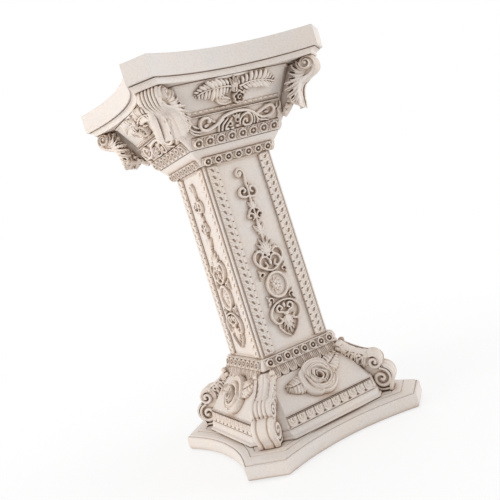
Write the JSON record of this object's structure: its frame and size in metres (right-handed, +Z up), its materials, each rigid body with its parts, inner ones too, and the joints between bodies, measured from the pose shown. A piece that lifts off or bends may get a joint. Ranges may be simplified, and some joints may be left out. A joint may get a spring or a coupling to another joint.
{
  "type": "pedestal column stand",
  "caption": "Small square classical pedestal column with panelled shaft, scroll brackets, roses and a concave-sided top slab, for standing a vase or figure on.",
  "frame": {"origin": "centre of the foot, on the surface it stands on", "axes": "+Z up the column, -Y towards the front face, +X to the right of the front face"},
  "size_m": [0.1646, 0.1646, 0.3],
  "materials": {
    "resin_body": "matt warm off-white cast resin",
    "resin_relief": "matt off-white cast resin with a brown antique wash in the hollows",
    "felt": "dark felt foot pads"
  },
  "bodies": {
    "root": {"plinth": "resin_body", "base_die": "resin_body", "shaft": "resin_body", "capital_block": "resin_body", "abacus": "resin_body", "tongue_ring": "resin_relief", "base_collar": "resin_relief", "neck_ring": "resin_relief", "foot_pad_front_left": "felt", "foot_pad_front_right": "felt", "foot_pad_back_right": "felt", "foot_pad_back_left": "felt", "base_frieze_front": "resin_relief", "rose_front": "resin_relief", "shaft_ornament_front": "resin_relief", "leaf_border_front_left": "resin_relief", "leaf_border_front_right": "resin_relief", "acanthus_frieze_front": "resin_relief", "cable_moulding_front": "resin_relief", "plume_spray_front": "resin_relief", "base_frieze_right": "resin_relief", "rose_right": "resin_relief", "shaft_ornament_right": "resin_relief", "leaf_border_right_left": "resin_relief", "leaf_border_right_right": "resin_relief", "acanthus_frieze_right": "resin_relief", "cable_moulding_right": "resin_relief", "plume_spray_right": "resin_relief", "base_frieze_back": "resin_relief", "rose_back": "resin_relief", "shaft_ornament_back": "resin_relief", "leaf_border_back_left": "resin_relief", "leaf_border_back_right": "resin_relief", "acanthus_frieze_back": "resin_relief", "cable_moulding_back": "resin_relief", "plume_spray_back": "resin_relief", "base_frieze_left": "resin_relief", "rose_left": "resin_relief", "shaft_ornament_left": "resin_relief", "leaf_border_left_left": "resin_relief", "leaf_border_left_right": "resin_relief", "acanthus_frieze_left": "resin_relief", "cable_moulding_left": "resin_relief", "plume_spray_left": "resin_relief", "base_console_front_left": "resin_relief", "capital_volute_front_left": "resin_relief", "base_console_front_right": "resin_relief", "capital_volute_front_right": "resin_relief", "base_console_back_right": "resin_relief", "capital_volute_back_right": "resin_relief", "base_console_back_left": "resin_relief", "capital_volute_back_left": "resin_relief"}
  },
  "joints": []
}
